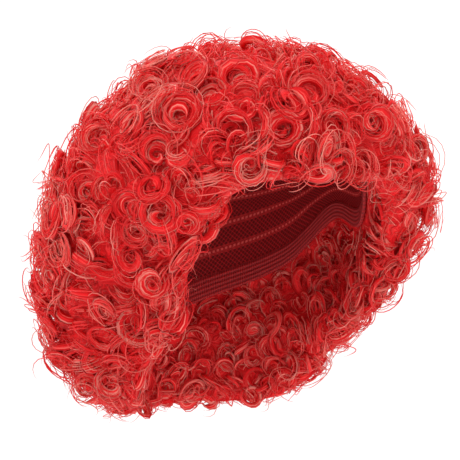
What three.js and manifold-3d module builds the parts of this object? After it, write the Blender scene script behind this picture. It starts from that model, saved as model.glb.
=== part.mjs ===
// A round wig of tight curls, in millimetres: a stretch cap with a turned hem, and round it
// rows of hair, each a backing with its ringlets fused to it.
// The origin is the middle of the head at the height of a hat band. +Z is up and the face is on the -Y side.
// Azimuths run from the face, at 0, through the left ear, at 90, to the back of the head, at 180 degrees.
import * as THREE from "three";
import { mergeVertices } from "three/addons/utils/BufferGeometryUtils.js";
import Module from "manifold-3d";

const wasm = await Module();
wasm.setup();
const { degToRad, lerp, clamp } = THREE.MathUtils;

// The head and neck that the wig fits
const headHalfWidth = 77;
const headHalfLength = 98;
const headRise = 92;
const skullDepth = 135;
const neckHalfWidth = 60;
const neckHalfLength = 74;

// The cap, which stands off the head by capEase
const capEase = 1;
const capWall = 1.5;
const capFrontHeight = 36;
const capNapeDrop = 76;
const hemExtra = 0.8;
const hemHeight = 9;

// The outer form of the hair, measured from the band
const hairRise = 118;
const hairHalfWidth = 140;
const fringeHeight = 24;
const napeDrop = 145;
const frontBulgeHeight = 52;
const backBulgeDrop = 42;
const hairEdgeThickness = 20;

// The rows of hair, and the ringlets that stand on them
const rowGap = 0.6;
const capGap = 0.5;
const curlRelief = 11;
const curlPitch = 37;
const curlDiameter = 36;

// Counts, shares and angles that shape the forms
const frontRows = 4;
const backRows = 9;
const leastRowShare = 0.6;
const innerShare = 0.45;
const crownDepth = 0.7;
const crownPower = 1.9;
const trimAngle = 0.4;
const capStations = 28;
const capRings = 6;
const neckRings = 4;
const profileSteps = 24;

// The hair at seven azimuths; the other side of the head mirrors them. edge and bulge are shares of the way
// down from the front's height to the back's, reach is a share of hairHalfWidth, power is how full the curve
// under the bulge is, and cap is the share of the way down from the cap's front edge to its nape.
const SECTIONS = [
  { azimuth: 0, edge: 0, bulge: 0, reach: 0.9, power: 2, cap: 0 },
  { azimuth: 30, edge: 0.03, bulge: 0.12, reach: 0.93, power: 2, cap: 0.02 },
  { azimuth: 45, edge: 0.2, bulge: 0.32, reach: 0.95, power: 1.7, cap: 0.14 },
  { azimuth: 60, edge: 0.55, bulge: 0.5, reach: 0.97, power: 1.3, cap: 0.42 },
  { azimuth: 90, edge: 0.71, bulge: 0.7, reach: 0.995, power: 1.5, cap: 0.4 },
  { azimuth: 125, edge: 0.96, bulge: 0.95, reach: 1.035, power: 2, cap: 0.72 },
  { azimuth: 180, edge: 1, bulge: 1, reach: 1.045, power: 2, cap: 1 },
];

const capInner = capEase;
const capOuter = capEase + capWall;
const hairInner = capOuter + capGap;

// An azimuth brought to the side that the table holds, from 0 to 180 degrees.
function folded(azimuth) {
  const turn = ((azimuth % 360) + 360) % 360;
  return Math.min(turn, 360 - turn);
}

// One column of the table at any azimuth, on a smooth curve through its rows.
function column(name, azimuth) {
  const at = folded(azimuth);
  const last = SECTIONS.length - 1;
  const i = clamp(SECTIONS.findIndex((row) => row.azimuth >= at) - 1, 0, last - 1);
  const [before, from, to, after] = [i - 1, i, i + 1, i + 2].map((n) => SECTIONS[clamp(n, 0, last)]);
  const span = to.azimuth - from.azimuth;
  const t = (at - from.azimuth) / span;
  const slopeFrom = ((to[name] - before[name]) / (to.azimuth - before.azimuth)) * span;
  const slopeTo = ((after[name] - from[name]) / (after.azimuth - from.azimuth)) * span;
  const [t2, t3] = [t * t, t * t * t];
  return (
    (2 * t3 - 3 * t2 + 1) * from[name] +
    (t3 - 2 * t2 + t) * slopeFrom +
    (3 * t2 - 2 * t3) * to[name] +
    (t3 - t2) * slopeTo
  );
}

function ellipseReach(azimuth, halfWidth, halfLength) {
  const angle = degToRad(azimuth);
  return 1 / Math.hypot(Math.sin(angle) / halfWidth, Math.cos(angle) / halfLength);
}

// A point at an azimuth, a reach from the head's axis and a height.
function placed(azimuth, reach, height) {
  const angle = degToRad(azimuth);
  return new THREE.Vector3(Math.sin(angle) * reach, -Math.cos(angle) * reach, height);
}

// How far the skull and neck, grown by offset, reach from the head's axis.
function headReach(azimuth, height, offset) {
  const halfHeight = (height > 0 ? headRise : skullDepth) + offset;
  const share = Math.sqrt(Math.max(0, 1 - (height / halfHeight) ** 2));
  const skull = ellipseReach(azimuth, headHalfWidth + offset, headHalfLength + offset) * share;
  const neck = ellipseReach(azimuth, neckHalfWidth + offset, neckHalfLength + offset);
  return height < 0 ? Math.max(skull, neck) : skull;
}

function capEdgeHeight(azimuth) {
  return lerp(capFrontHeight, -capNapeDrop, column("cap", azimuth));
}

// A point on the skull grown by offset, share of the way from the cap's edge up to the crown.
function skullPoint(azimuth, share, offset) {
  const edge = capEdgeHeight(azimuth);
  const edgeAngle = Math.asin(edge / (edge > 0 ? headRise : skullDepth));
  const angle = lerp(edgeAngle, Math.PI / 2, share);
  const height = Math.sin(angle) * ((angle > 0 ? headRise : skullDepth) + offset);
  const reach = ellipseReach(azimuth, headHalfWidth + offset, headHalfLength + offset) * Math.cos(angle);
  return placed(azimuth, share === 1 ? 0 : reach, height);
}

// The hair's outer line at an azimuth, from the crown to its lowest curls, with the distance along it.
function makeProfile(azimuth) {
  const edgeHeight = lerp(fringeHeight, -napeDrop, column("edge", azimuth));
  const bulgeHeight = lerp(frontBulgeHeight, -backBulgeDrop, column("bulge", azimuth));
  const bulgeReach = hairHalfWidth * column("reach", azimuth);
  const edgeReach = headReach(azimuth, edgeHeight, hairInner) + hairEdgeThickness;
  const power = column("power", azimuth);
  const line = [];
  for (let i = 0; i <= 2 * profileSteps; i++) {
    const angle = ((profileSteps - i) / profileSteps) * (Math.PI / 2);
    const [across, along] = [Math.abs(Math.cos(angle)), Math.abs(Math.sin(angle))];
    if (i <= profileSteps) {
      const reach = bulgeReach * across ** (2 / crownPower);
      line.push([reach, lerp(bulgeHeight, hairRise, along ** (2 / crownPower))]);
    } else {
      const reach = lerp(edgeReach, bulgeReach, across ** (2 / power));
      line.push([reach, lerp(bulgeHeight, edgeHeight, along ** (2 / power))]);
    }
  }
  const distances = [0];
  for (let i = 1; i < line.length; i++) {
    const step = Math.hypot(line[i][0] - line[i - 1][0], line[i][1] - line[i - 1][1]);
    distances.push(distances[i - 1] + step);
  }
  return { line, distances, length: distances[line.length - 1] };
}

const profiles = new Map();
function profileAt(azimuth) {
  const key = folded(azimuth).toFixed(4);
  if (!profiles.has(key)) profiles.set(key, makeProfile(azimuth));
  return profiles.get(key);
}

// A point of the hair's outer form, a distance down from the crown, moved out by lift.
function hairPoint(azimuth, distance, lift = 0) {
  const { line, distances, length } = profileAt(azimuth);
  const at = clamp(distance, 0, length);
  const i = Math.max(1, distances.findIndex((d) => d >= at));
  const t = (at - distances[i - 1]) / (distances[i] - distances[i - 1]);
  const reach = lerp(line[i - 1][0], line[i][0], t);
  const height = lerp(line[i - 1][1], line[i][1], t);
  const point = placed(azimuth, reach, height);
  return point.multiplyScalar(1 + lift / point.length());
}

// The two triangles of each four corners.
function quads(fours) {
  return fours.flatMap(([a, b, c, d]) => [a, b, c, a, c, d]);
}

// The triangles of a skin that loops round through sections of equally many points.
function loopSkin(sections) {
  const fours = sections.flatMap((from, s) => {
    const to = sections[(s + 1) % sections.length];
    return from.map((point, i) => {
      const j = (i + 1) % from.length;
      return [point, to[i], to[j], from[j]];
    });
  });
  return quads(fours);
}

// A solid from the triangles of a closed skin: corners that meet are merged, and it is turned to face out.
function toSolid(triangles) {
  const merged = mergeVertices(new THREE.BufferGeometry().setFromPoints(triangles));
  const points = merged.getAttribute("position").array;
  const corners = [];
  let volume = 0;
  const corner = (n) => new THREE.Vector3().fromArray(points, 3 * n);
  for (let i = 0; i < merged.index.count; i += 3) {
    const [a, b, c] = merged.index.array.slice(i, i + 3);
    if (a === b || b === c || a === c) continue;
    corners.push(a, b, c);
    volume += corner(a).dot(corner(b).cross(corner(c)));
  }
  const triVerts = new Uint32Array(volume < 0 ? corners.reverse() : corners);
  return new wasm.Manifold(new wasm.Mesh({ numProp: 3, vertProperties: points, triVerts }));
}

function toMesh(solid, name, material) {
  const { vertProperties, triVerts } = solid.getMesh();
  const geometry = new THREE.BufferGeometry();
  geometry.setAttribute("position", new THREE.BufferAttribute(new Float32Array(vertProperties), 3));
  geometry.setIndex(new THREE.BufferAttribute(new Uint32Array(triVerts), 1));
  geometry.computeVertexNormals();
  const mesh = new THREE.Mesh(geometry, material);
  mesh.name = name;
  return mesh;
}

// A row's height on the hair's outer form, so that whole rows fit at the face and at the back.
function rowHeightAt(azimuth) {
  const front = profileAt(0).length / frontRows;
  const back = profileAt(180).length / backRows;
  return lerp(front, back, (1 - Math.cos(degToRad(azimuth))) / 2);
}

// The azimuth at which a row starts on the left of the face, or 0 where it runs all the way round.
function findStart(row) {
  for (let azimuth = 0; azimuth <= 180; azimuth++) {
    if (profileAt(azimuth).length > (row - 1 + leastRowShare) * rowHeightAt(azimuth)) return azimuth;
  }
  return Infinity;
}

const rowStart = Array.from({ length: backRows + 2 }, (_, row) => findStart(row));

// Evenly spread azimuths, and the shares of the way from the cap's edge to the crown where its rings lie.
const capAzimuths = Array.from({ length: capStations }, (_, i) => (360 * i) / capStations);
const ringShares = Array.from({ length: capRings + 1 }, (_, i) => i / capRings);

// The cap: a thin dome whose edge is turned in as a hem.
function makeCap() {
  const sections = capAzimuths.map((azimuth) => {
    const edgeLength = headRise * (Math.PI / 2) - capEdgeHeight(azimuth);
    const outer = ringShares.map((share) => skullPoint(azimuth, share, capOuter));
    const inner = ringShares.slice(1).map((share) => skullPoint(azimuth, share, capInner));
    const hem = [hemHeight / edgeLength, 0].map((share) => skullPoint(azimuth, share, capInner - hemExtra));
    return [...outer, ...inner.reverse(), ...hem];
  });
  return toSolid(loopSkin(sections));
}

// The space that the cap, the skull under it and the neck take, with capGap to the hair.
function makeHeadSpace() {
  const floor = -2 * napeDrop;
  const sections = capAzimuths.map((azimuth) => {
    const skull = ringShares.map((share) => skullPoint(azimuth, share, hairInner));
    const neck = Array.from({ length: neckRings }, (_, i) => {
      const height = lerp(-napeDrop, skull[0].z, i / neckRings);
      return placed(azimuth, headReach(azimuth, height, hairInner), height);
    });
    return [placed(azimuth, 0, floor), placed(azimuth, neckHalfWidth, floor), ...neck, ...skull];
  });
  return toSolid(loopSkin(sections));
}

// The stretches of a row. Where no row lies below, a stretch is lowest and ends at the hair's edge. Stretches
// of one row overlap a little and are fused.
function stretchesOf(row) {
  const [start, next] = [rowStart[row], rowStart[row + 1]];
  if (next === 0) return [{ from: 0, to: 360, lowest: false }];
  const first = start + trimAngle;
  if (next > 180) return [{ from: first, to: 360 - first, lowest: true }];
  const last = next - trimAngle;
  const back = { from: last - 2 * trimAngle, to: 360 - last + 2 * trimAngle, lowest: false };
  if (start === 0) return [back, { from: -last, to: last, lowest: true }];
  const left = { from: first, to: last, lowest: true };
  return [back, left, { from: 360 - last, to: 360 - first, lowest: true }];
}

// A point of a row, across share of the way from its top line to its bottom line, moved out by lift.
function rowPoint(row, lowest, azimuth, across, lift) {
  const height = rowHeightAt(azimuth);
  const top = row === 1 ? 0 : (row - 1) * height + rowGap / 2;
  const bottom = lowest ? profileAt(azimuth).length : row * height - rowGap / 2;
  return hairPoint(azimuth, lerp(top, bottom, across), lift);
}

// The azimuths between the ringlets of a stretch, which lie a curlPitch apart or nearly so.
function cellEdges(row, { from, to, lowest }) {
  const steps = Math.ceil(to - from);
  const azimuths = Array.from({ length: steps + 1 }, (_, i) => lerp(from, to, i / steps));
  const middles = azimuths.map((azimuth) => rowPoint(row, lowest, azimuth, 0.5, 0));
  const lengths = [0];
  for (let i = 1; i <= steps; i++) lengths.push(lengths[i - 1] + middles[i].distanceTo(middles[i - 1]));
  const total = lengths[steps];
  const count = Math.max(1, Math.round(total / curlPitch));
  return Array.from({ length: count + 1 }, (_, n) => {
    const i = Math.max(1, lengths.findIndex((length) => length >= (total * n) / count - 1e-6));
    const t = ((total * n) / count - lengths[i - 1]) / (lengths[i] - lengths[i - 1]);
    return lerp(azimuths[i - 1], azimuths[i], t);
  });
}

// A repeatable number from -1 to 1 for a seed.
function scatter(seed) {
  const value = Math.sin(seed * 12.9898) * 43758.5453;
  return 2 * (value - Math.floor(value)) - 1;
}

// The border of a ringlet's cell, as shares along and across it, and how deep it lies under the outer form.
const BORDER = [
  { along: 0, across: 0, depth: 1 },
  { along: 0.5, across: 0, depth: 0.75 },
  { along: 1, across: 0, depth: 1 },
  { along: 1, across: 0.5, depth: 0.7 },
  { along: 1, across: 1, depth: 1 },
  { along: 0.5, across: 1, depth: 0.75 },
  { along: 0, across: 1, depth: 1 },
  { along: 0, across: 0.5, depth: 0.7 },
];

// The skin of a ringlet seen from its end: a coil round a hollow middle, that narrows and sinks as it winds.
function ringletSkin(row, lowest, from, to, seed) {
  const point = (along, across, lift) => rowPoint(row, lowest, lerp(from, to, along), across, lift);
  const border = BORDER.map(({ along, across, depth }) => {
    const atCrown = row === 1 && across === 0;
    return point(along, across, -curlRelief * (atCrown ? crownDepth : depth));
  });
  const width = border[7].distanceTo(border[3]);
  const height = border[1].distanceTo(border[5]);
  const radius = (curlDiameter / 2) * (1 + 0.12 * scatter(seed));
  const reach = { along: Math.min(0.46, radius / width), across: Math.min(0.46, radius / height) };
  const middle = { along: 0.5 + 0.05 * scatter(seed + 0.2), across: 0.5 + 0.05 * scatter(seed + 0.4) };
  const turned = Math.floor(4 * (1 + scatter(seed + 0.6)));
  const hand = scatter(seed + 0.8) < 0 ? -1 : 1;
  const rise = 0.15 * curlRelief * (1 + scatter(seed + 0.9));
  const ring = (share, depth) =>
    BORDER.map((_, i) => {
      const wound = ((hand * i + turned + 8) % 8) / 8;
      const angle = (Math.PI * (i - 3)) / 4;
      const spread = share * (1 - 0.16 * wound);
      const along = middle.along + reach.along * spread * Math.cos(angle);
      const across = middle.across + reach.across * spread * Math.sin(angle);
      return point(along, across, rise - curlRelief * (depth + 0.4 * wound));
    });
  const [shoulder, crest] = [ring(0.96, 0.22), ring(0.62, 0)];
  const pit = point(middle.along, middle.across, -1.05 * curlRelief);
  const faces = BORDER.flatMap((_, i) => {
    const j = (i + 1) % 8;
    return [
      [border[i], border[j], shoulder[j], shoulder[i]],
      [shoulder[i], shoulder[j], crest[j], crest[i]],
      [crest[i], crest[j], pit, pit],
    ];
  });
  return { border, faces };
}

// A stretch of a row: the skins of its ringlets, closed by walls that run in towards the middle of the head.
function makeStretch(row, stretch) {
  const edges = cellEdges(row, stretch);
  const cells = edges.slice(1).map((to, i) => {
    const seed = 41 * row + 2.3 * i + stretch.from / 50;
    return ringletSkin(row, stretch.lowest, edges[i], to, seed);
  });
  const inward = (point) => point.clone().multiplyScalar(innerShare);
  const walls = cells.flatMap(({ border }) => {
    const [top, bottom] = [border.slice(0, 3), [border[6], border[5], border[4]]];
    return [0, 1].flatMap((i) => [
      [top[i + 1], top[i], inward(top[i]), inward(top[i + 1])],
      [bottom[i], bottom[i + 1], inward(bottom[i + 1]), inward(bottom[i])],
      [inward(top[i + 1]), inward(top[i]), inward(bottom[i]), inward(bottom[i + 1])],
    ]);
  });
  if (stretch.to - stretch.from < 360) {
    const [first, last] = [cells[0].border, cells[cells.length - 1].border];
    walls.push([first[7], first[6], inward(first[6]), inward(first[0])]);
    walls.push([first[7], inward(first[0]), first[0], first[0]]);
    walls.push([last[3], last[2], inward(last[2]), inward(last[4])]);
    walls.push([last[3], inward(last[4]), last[4], last[4]]);
  }
  return toSolid(quads([...cells.flatMap((cell) => cell.faces), ...walls]));
}

const headSpace = makeHeadSpace();

// The hair of a row, fused from its stretches, with the space for the head taken out.
function makeRow(row) {
  const stretches = stretchesOf(row).map((stretch) => makeStretch(row, stretch));
  const pieces = wasm.Manifold.union(stretches).subtract(headSpace).decompose();
  return pieces.reduce((largest, piece) => (piece.volume() > largest.volume() ? piece : largest));
}

const capMaterial = new THREE.MeshStandardMaterial({ color: 0x8c1218, roughness: 0.85, metalness: 0 });
const hairMaterial = new THREE.MeshStandardMaterial({ color: 0xd0181f, roughness: 0.45, metalness: 0 });

const wig = new THREE.Group();
wig.name = "wig";
wig.add(toMesh(makeCap(), "cap", capMaterial));

const hair = new THREE.Group();
hair.name = "hair";
for (let row = 1; row <= backRows; row++) {
  hair.add(toMesh(makeRow(row), `weft_row_${row}`, hairMaterial));
}
wig.add(hair);

export default wig;
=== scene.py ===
# %% [markdown]
# # A curly red wig
# The wig is a stretch cap with rows of crimped synthetic hair sewn to it. This lesson dresses the plain
# solids of the wig with the thing itself: some thousands of fine strands, wound into ringlets, over a
# dense red pile.

import math

import bpy
import numpy as np
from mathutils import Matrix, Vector


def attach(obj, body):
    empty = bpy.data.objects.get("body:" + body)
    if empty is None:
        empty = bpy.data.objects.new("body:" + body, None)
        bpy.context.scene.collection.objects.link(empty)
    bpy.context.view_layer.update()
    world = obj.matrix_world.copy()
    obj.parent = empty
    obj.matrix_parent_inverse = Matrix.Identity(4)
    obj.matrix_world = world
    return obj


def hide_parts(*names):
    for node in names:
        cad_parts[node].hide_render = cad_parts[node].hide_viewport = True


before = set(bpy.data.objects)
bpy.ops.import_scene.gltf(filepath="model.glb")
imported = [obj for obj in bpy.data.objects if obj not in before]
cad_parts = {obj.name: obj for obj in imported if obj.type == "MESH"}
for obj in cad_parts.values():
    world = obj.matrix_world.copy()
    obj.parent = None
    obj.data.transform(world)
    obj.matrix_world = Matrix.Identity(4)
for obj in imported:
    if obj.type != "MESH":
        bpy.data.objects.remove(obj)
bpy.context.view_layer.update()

# %% [markdown]
# ## Camera
# The wig is seen from a little to the wearer's right, almost level, through a long lens that keeps the
# ringlets near and far at nearly one size. The frame is 313 mm wide at the middle of the head.

# %% Camera
VIEW_AZIMUTH = math.radians(-32)
VIEW_ELEVATION = math.radians(3)
VIEW_DISTANCE = 1.17
FRAME_WIDTH = 0.313
SENSOR_WIDTH = 36
LOOK_RIGHT, LOOK_UP = -0.0068, -0.0143


def toward(azimuth, elevation):
    """The direction from the middle of the head to an azimuth from the face and an elevation."""
    flat = math.cos(elevation)
    return Vector((math.sin(azimuth) * flat, -math.cos(azimuth) * flat, math.sin(elevation)))


def aim(obj, target):
    """Turns an object that looks along its -Z so that it looks at the target."""
    obj.rotation_euler = (target - obj.location).to_track_quat("-Z", "Y").to_euler()


bpy.ops.object.camera_add()
camera = bpy.context.object
camera_right = Vector((math.cos(VIEW_AZIMUTH), math.sin(VIEW_AZIMUTH), 0))
look_at = camera_right * LOOK_RIGHT + Vector((0, 0, LOOK_UP))
camera.location = look_at + toward(VIEW_AZIMUTH, VIEW_ELEVATION) * VIEW_DISTANCE
aim(camera, look_at)
camera.data.sensor_width = SENSOR_WIDTH
camera.data.lens = SENSOR_WIDTH * VIEW_DISTANCE / FRAME_WIDTH
bpy.context.scene.camera = camera
print("lens", round(camera.data.lens, 1), "mm")

# %% [markdown]
# ## Floor, sky and lamps
# The wig was photographed on plain white. A wide pale floor lies well below it, and a white sky fills the
# shadows. The main lamp, on the left and above, gives the fibres their salmon shine. A weaker one on the
# right and one behind keep the outline bright.

# %% Floor, sky and lamps
scene = bpy.context.scene
scene.view_settings.view_transform = "Standard"
scene.view_settings.look = "None"


def new_material(name, roughness, shine):
    """A material with its roughness and its level of plain reflection, its node tree and its shader."""
    material = bpy.data.materials.new(name)
    material.use_nodes = True
    shader = material.node_tree.nodes["Principled BSDF"]
    shader.inputs["Roughness"].default_value = roughness
    shader.inputs["Specular IOR Level"].default_value = shine
    return material, material.node_tree, shader


bpy.ops.mesh.primitive_plane_add(size=40, location=(0, 0, -1.2))
floor = bpy.context.object
floor.name = "floor"
floor_paint, _, floor_shader = new_material("pale floor", 0.9, 0.5)
floor_shader.inputs["Base Color"].default_value = (0.97, 0.97, 0.97, 1)
floor.data.materials.append(floor_paint)

sky = bpy.data.worlds.new("white sky")
scene.world = sky
sky.use_nodes = True
sky.node_tree.nodes["Background"].inputs["Color"].default_value = (1, 1, 1, 1)
sky.node_tree.nodes["Background"].inputs["Strength"].default_value = 1.13


def softbox(name, azimuth, elevation, distance, size, power):
    """A square lamp that faces the wig; size and distance are in metres, and power in watts."""
    bpy.ops.object.light_add(type="AREA")
    lamp = bpy.context.object
    lamp.name = name
    lamp.location = toward(math.radians(azimuth), math.radians(elevation)) * distance
    lamp.data.size = size
    lamp.data.energy = power
    aim(lamp, Vector((0, 0, 0)))


softbox("key lamp", -75, 45, 1.6, 0.7, 4)
softbox("fill lamp", 35, 25, 1.8, 0.9, 2)
softbox("back lamp", 150, 50, 1.5, 0.6, 4)

# %% [markdown]
# ## The form of the hair
# The strands have to follow the outer form of the solids, so the same form is worked out here in metres:
# at each azimuth, a line runs from the crown over a bulge to the lowest curls. The table gives how low
# the edge is, how low the bulge and how far out it reaches, as shares, and the power of the curve under
# it, which is fuller the higher it is.

# %% The form of the hair
MM = 0.001
HEAD_HALF_WIDTH, HEAD_HALF_LENGTH = 77 * MM, 98 * MM
HEAD_RISE, SKULL_DEPTH = 92 * MM, 135 * MM
NECK_HALF_WIDTH, NECK_HALF_LENGTH = 60 * MM, 74 * MM
HAIR_CLEARANCE = 3 * MM
HAIR_RISE, HAIR_HALF_WIDTH = 118 * MM, 140 * MM
FRINGE_HEIGHT, NAPE_DROP = 24 * MM, 145 * MM
FRONT_BULGE, BACK_BULGE = 52 * MM, -42 * MM
EDGE_THICKNESS = 20 * MM
CROWN_POWER = 1.9
FRONT_ROWS, BACK_ROWS = 4, 9
LEAST_ROW_SHARE = 0.6

COLUMNS = ("azimuth", "edge", "bulge", "reach", "power")
SECTIONS = [
    (0, 0, 0, 0.9, 2),
    (30, 0.03, 0.12, 0.93, 2),
    (45, 0.2, 0.32, 0.95, 1.7),
    (60, 0.55, 0.5, 0.97, 1.3),
    (90, 0.71, 0.7, 0.995, 1.5),
    (125, 0.96, 0.95, 1.035, 2),
    (180, 1, 1, 1.045, 2),
]
DEGREES = np.arange(181.0)


def smooth_column(at, value):
    """A smooth curve through the values, read at each whole degree."""
    at, value = np.array(at, float), np.array(value, float)
    padded_at = np.concatenate([at[:1], at, at[-1:]])
    padded_value = np.concatenate([value[:1], value, value[-1:]])
    slope = (padded_value[2:] - padded_value[:-2]) / (padded_at[2:] - padded_at[:-2])
    i = np.clip(np.searchsorted(at, DEGREES) - 1, 0, len(at) - 2)
    span = at[i + 1] - at[i]
    t = (DEGREES - at[i]) / span
    start = (2 * t**3 - 3 * t**2 + 1) * value[i] + (t**3 - 2 * t**2 + t) * slope[i] * span
    return start + (3 * t**2 - 2 * t**3) * value[i + 1] + (t**3 - t**2) * slope[i + 1] * span


def column(name):
    """One column of the table at each whole degree."""
    return smooth_column([row[0] for row in SECTIONS], [row[COLUMNS.index(name)] for row in SECTIONS])


def place_at(azimuth, reach, height):
    """The point at an azimuth from the face, a reach from the head's axis and a height."""
    angle = np.radians(azimuth)
    return np.stack([np.sin(angle) * reach, -np.cos(angle) * reach, height], -1)


def ellipse_reach(azimuth, half_width, half_length):
    """How far an ellipse round the head's axis reaches."""
    angle = np.radians(azimuth)
    return 1 / np.hypot(np.sin(angle) / half_width, np.cos(angle) / half_length)


def head_reach(azimuth, height, offset):
    """How far the head and neck, grown by offset, reach from the head's axis."""
    half_height = np.where(height > 0, HEAD_RISE, SKULL_DEPTH) + offset
    share = np.sqrt(np.maximum(0, 1 - (height / half_height) ** 2))
    skull = ellipse_reach(azimuth, HEAD_HALF_WIDTH + offset, HEAD_HALF_LENGTH + offset) * share
    neck = ellipse_reach(azimuth, NECK_HALF_WIDTH + offset, NECK_HALF_LENGTH + offset)
    return np.where(height < 0, np.maximum(skull, neck), skull)


def make_profiles(steps=24, samples=120):
    """The hair's outer line at each whole degree, as evenly spaced reaches and heights, and its length."""
    edge_height = FRINGE_HEIGHT + (-NAPE_DROP - FRINGE_HEIGHT) * column("edge")
    bulge_height = FRONT_BULGE + (BACK_BULGE - FRONT_BULGE) * column("bulge")
    bulge_reach = HAIR_HALF_WIDTH * column("reach")
    edge_reach = head_reach(DEGREES, edge_height, HAIR_CLEARANCE) + EDGE_THICKNESS
    power = column("power")
    lines, lengths = [], []
    for d in range(181):
        upper = np.linspace(math.pi / 2, 0, steps + 1)
        lower = np.linspace(0, math.pi / 2, steps + 1)[1:]
        up_reach = bulge_reach[d] * np.cos(upper).clip(0) ** (2 / CROWN_POWER)
        up_share = np.sin(upper) ** (2 / CROWN_POWER)
        up_height = bulge_height[d] + (HAIR_RISE - bulge_height[d]) * up_share
        low_share = np.cos(lower).clip(0) ** (2 / power[d])
        low_reach = edge_reach[d] + (bulge_reach[d] - edge_reach[d]) * low_share
        drop_share = np.sin(lower) ** (2 / power[d])
        low_height = bulge_height[d] + (edge_height[d] - bulge_height[d]) * drop_share
        reach = np.concatenate([up_reach, low_reach])
        height = np.concatenate([up_height, low_height])
        distance = np.concatenate([[0], np.cumsum(np.hypot(np.diff(reach), np.diff(height)))])
        even = np.linspace(0, distance[-1], samples + 1)
        lines.append(np.stack([np.interp(even, distance, reach), np.interp(even, distance, height)], 1))
        lengths.append(distance[-1])
    return np.array(lines), np.array(lengths)


PROFILES, LENGTHS = make_profiles()
ROW_HEIGHTS = LENGTHS[0] / FRONT_ROWS + (LENGTHS[180] / BACK_ROWS - LENGTHS[0] / FRONT_ROWS) * (
    1 - np.cos(np.radians(DEGREES))
) / 2


def folded(azimuth):
    """The angle from the face, from 0 to 180 degrees on either side."""
    turn = np.mod(azimuth, 360)
    return np.minimum(turn, 360 - turn)


def length_at(azimuth):
    """How far it is from the crown down to the edge."""
    return np.interp(folded(azimuth), DEGREES, LENGTHS)


def hair_point(azimuth, distance, lift=0.0):
    """Points of the outer form, at distances down from the crown, moved out by lift."""
    azimuth, distance, lift = np.broadcast_arrays(azimuth, distance, lift)
    at = folded(azimuth)
    d0 = np.clip(np.floor(at).astype(int), 0, 179)
    share = np.clip(distance / length_at(azimuth), 0, 1) * (PROFILES.shape[1] - 1)
    s0 = np.clip(np.floor(share).astype(int), 0, PROFILES.shape[1] - 2)
    td, ts = (at - d0)[..., None], (share - s0)[..., None]
    here = PROFILES[d0, s0] * (1 - ts) + PROFILES[d0, s0 + 1] * ts
    there = PROFILES[d0 + 1, s0] * (1 - ts) + PROFILES[d0 + 1, s0 + 1] * ts
    reach, height = np.moveaxis(here * (1 - td) + there * td, -1, 0)
    point = place_at(azimuth, reach, height)
    return point * (1 + lift / np.linalg.norm(point, axis=-1))[..., None]


def unit(vectors):
    return vectors / np.maximum(np.linalg.norm(vectors, axis=-1, keepdims=True), 1e-9)


def hair_frame(azimuth, distance):
    """The directions right, up and out on the outer form."""
    right = unit(hair_point(azimuth + 1, distance) - hair_point(azimuth - 1, distance))
    down = hair_point(azimuth, distance + MM) - hair_point(azimuth, distance - MM)
    out = unit(np.cross(down, right))
    out = np.where((out * hair_point(azimuth, distance)).sum(-1, keepdims=True) < 0, -out, out)
    return right, np.cross(out, right), out


def clear_of_head(points, clearance):
    """Moves points that lie in the head or neck out to its surface."""
    x, y, z = np.moveaxis(points, -1, 0)
    azimuth = np.degrees(np.arctan2(x, -y))
    reach = np.hypot(x, y)
    scaled = np.sqrt(
        (x / (HEAD_HALF_WIDTH + clearance)) ** 2
        + (y / (HEAD_HALF_LENGTH + clearance)) ** 2
        + (z / (HEAD_RISE + clearance)) ** 2
    )
    above = np.where(z > 0, 1 / np.clip(scaled, 1e-3, 1), 1)
    beside = np.where(z <= 0, np.maximum(1, head_reach(azimuth, z, clearance) / np.maximum(reach, 1e-6)), 1)
    return np.stack([x * above * beside, y * above * beside, z * above], -1)


def first_degree(row):
    """The first whole degree from the face at which a row has room, or 999 where it never has."""
    fits = np.nonzero(LENGTHS > (row - 1 + LEAST_ROW_SHARE) * ROW_HEIGHTS)[0]
    return fits[0] if len(fits) else 999


ROW_STARTS = [first_degree(row) for row in range(BACK_ROWS + 2)]


def row_of(azimuth, distance):
    """The row that a place on the hair belongs to."""
    height = np.interp(folded(azimuth), DEGREES, ROW_HEIGHTS)
    row = np.floor(distance / height).astype(int) + 1
    last = sum((folded(azimuth) >= ROW_STARTS[n]).astype(int) for n in range(1, BACK_ROWS + 1))
    return np.minimum(row, last)


print("rows start at", ROW_STARTS[1 : BACK_ROWS + 1], "degrees, edge from the crown", LENGTHS[0].round(3))

# %% [markdown]
# ## Where the ringlets sit
# Ringlets on such a wig lie close but in no pattern. So places are thrown on the surface at random, and
# one is kept where no earlier one is too near. The edge gets its curls before the rest, because they
# frame the face.

# %% Places on the outside
random = np.random.default_rng(11)
OUTER_SPACING = 17 * MM


def apart(points, spacing):
    """The numbers of the points that are kept so that no two are closer than spacing."""
    chosen = []
    for i, point in enumerate(points):
        if not chosen or np.linalg.norm(points[chosen] - point, axis=1).min() > spacing:
            chosen.append(i)
    return np.array(chosen)


# %% [markdown]
# Some rings catch the eye, and they go first, where the wig has them: the azimuth from the face, the
# share of the way down from the crown, and the ring's radius in millimetres.

# %% Rings that catch the eye
EYE_CATCHERS = [
    (285, 0.32, 10),
    (306, 0.48, 14.5),
    (302, 0.56, 12.5),
    (306, 0.76, 13),
    (313, 0.89, 9),
    (298, 0.73, 9.5),
    (278, 0.58, 9.5),
    (331, 0.90, 11),
    (282, 0.95, 18),
    (302, 0.97, 9),
    (299, 0.87, 10.5),
    (284, 0.75, 17),
    (352, 0.62, 12),
    (357, 0.79, 12),
    (11, 0.78, 12),
    (325, 0.72, 12),
    (315, 0.48, 11),
    (273, 0.45, 11),
    (340, 0.79, 11),
    (253, 0.98, 10),
    (46, 0.99, 12),
    (53, 0.98, 10),
]


EDGE_PLACES = 400


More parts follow.
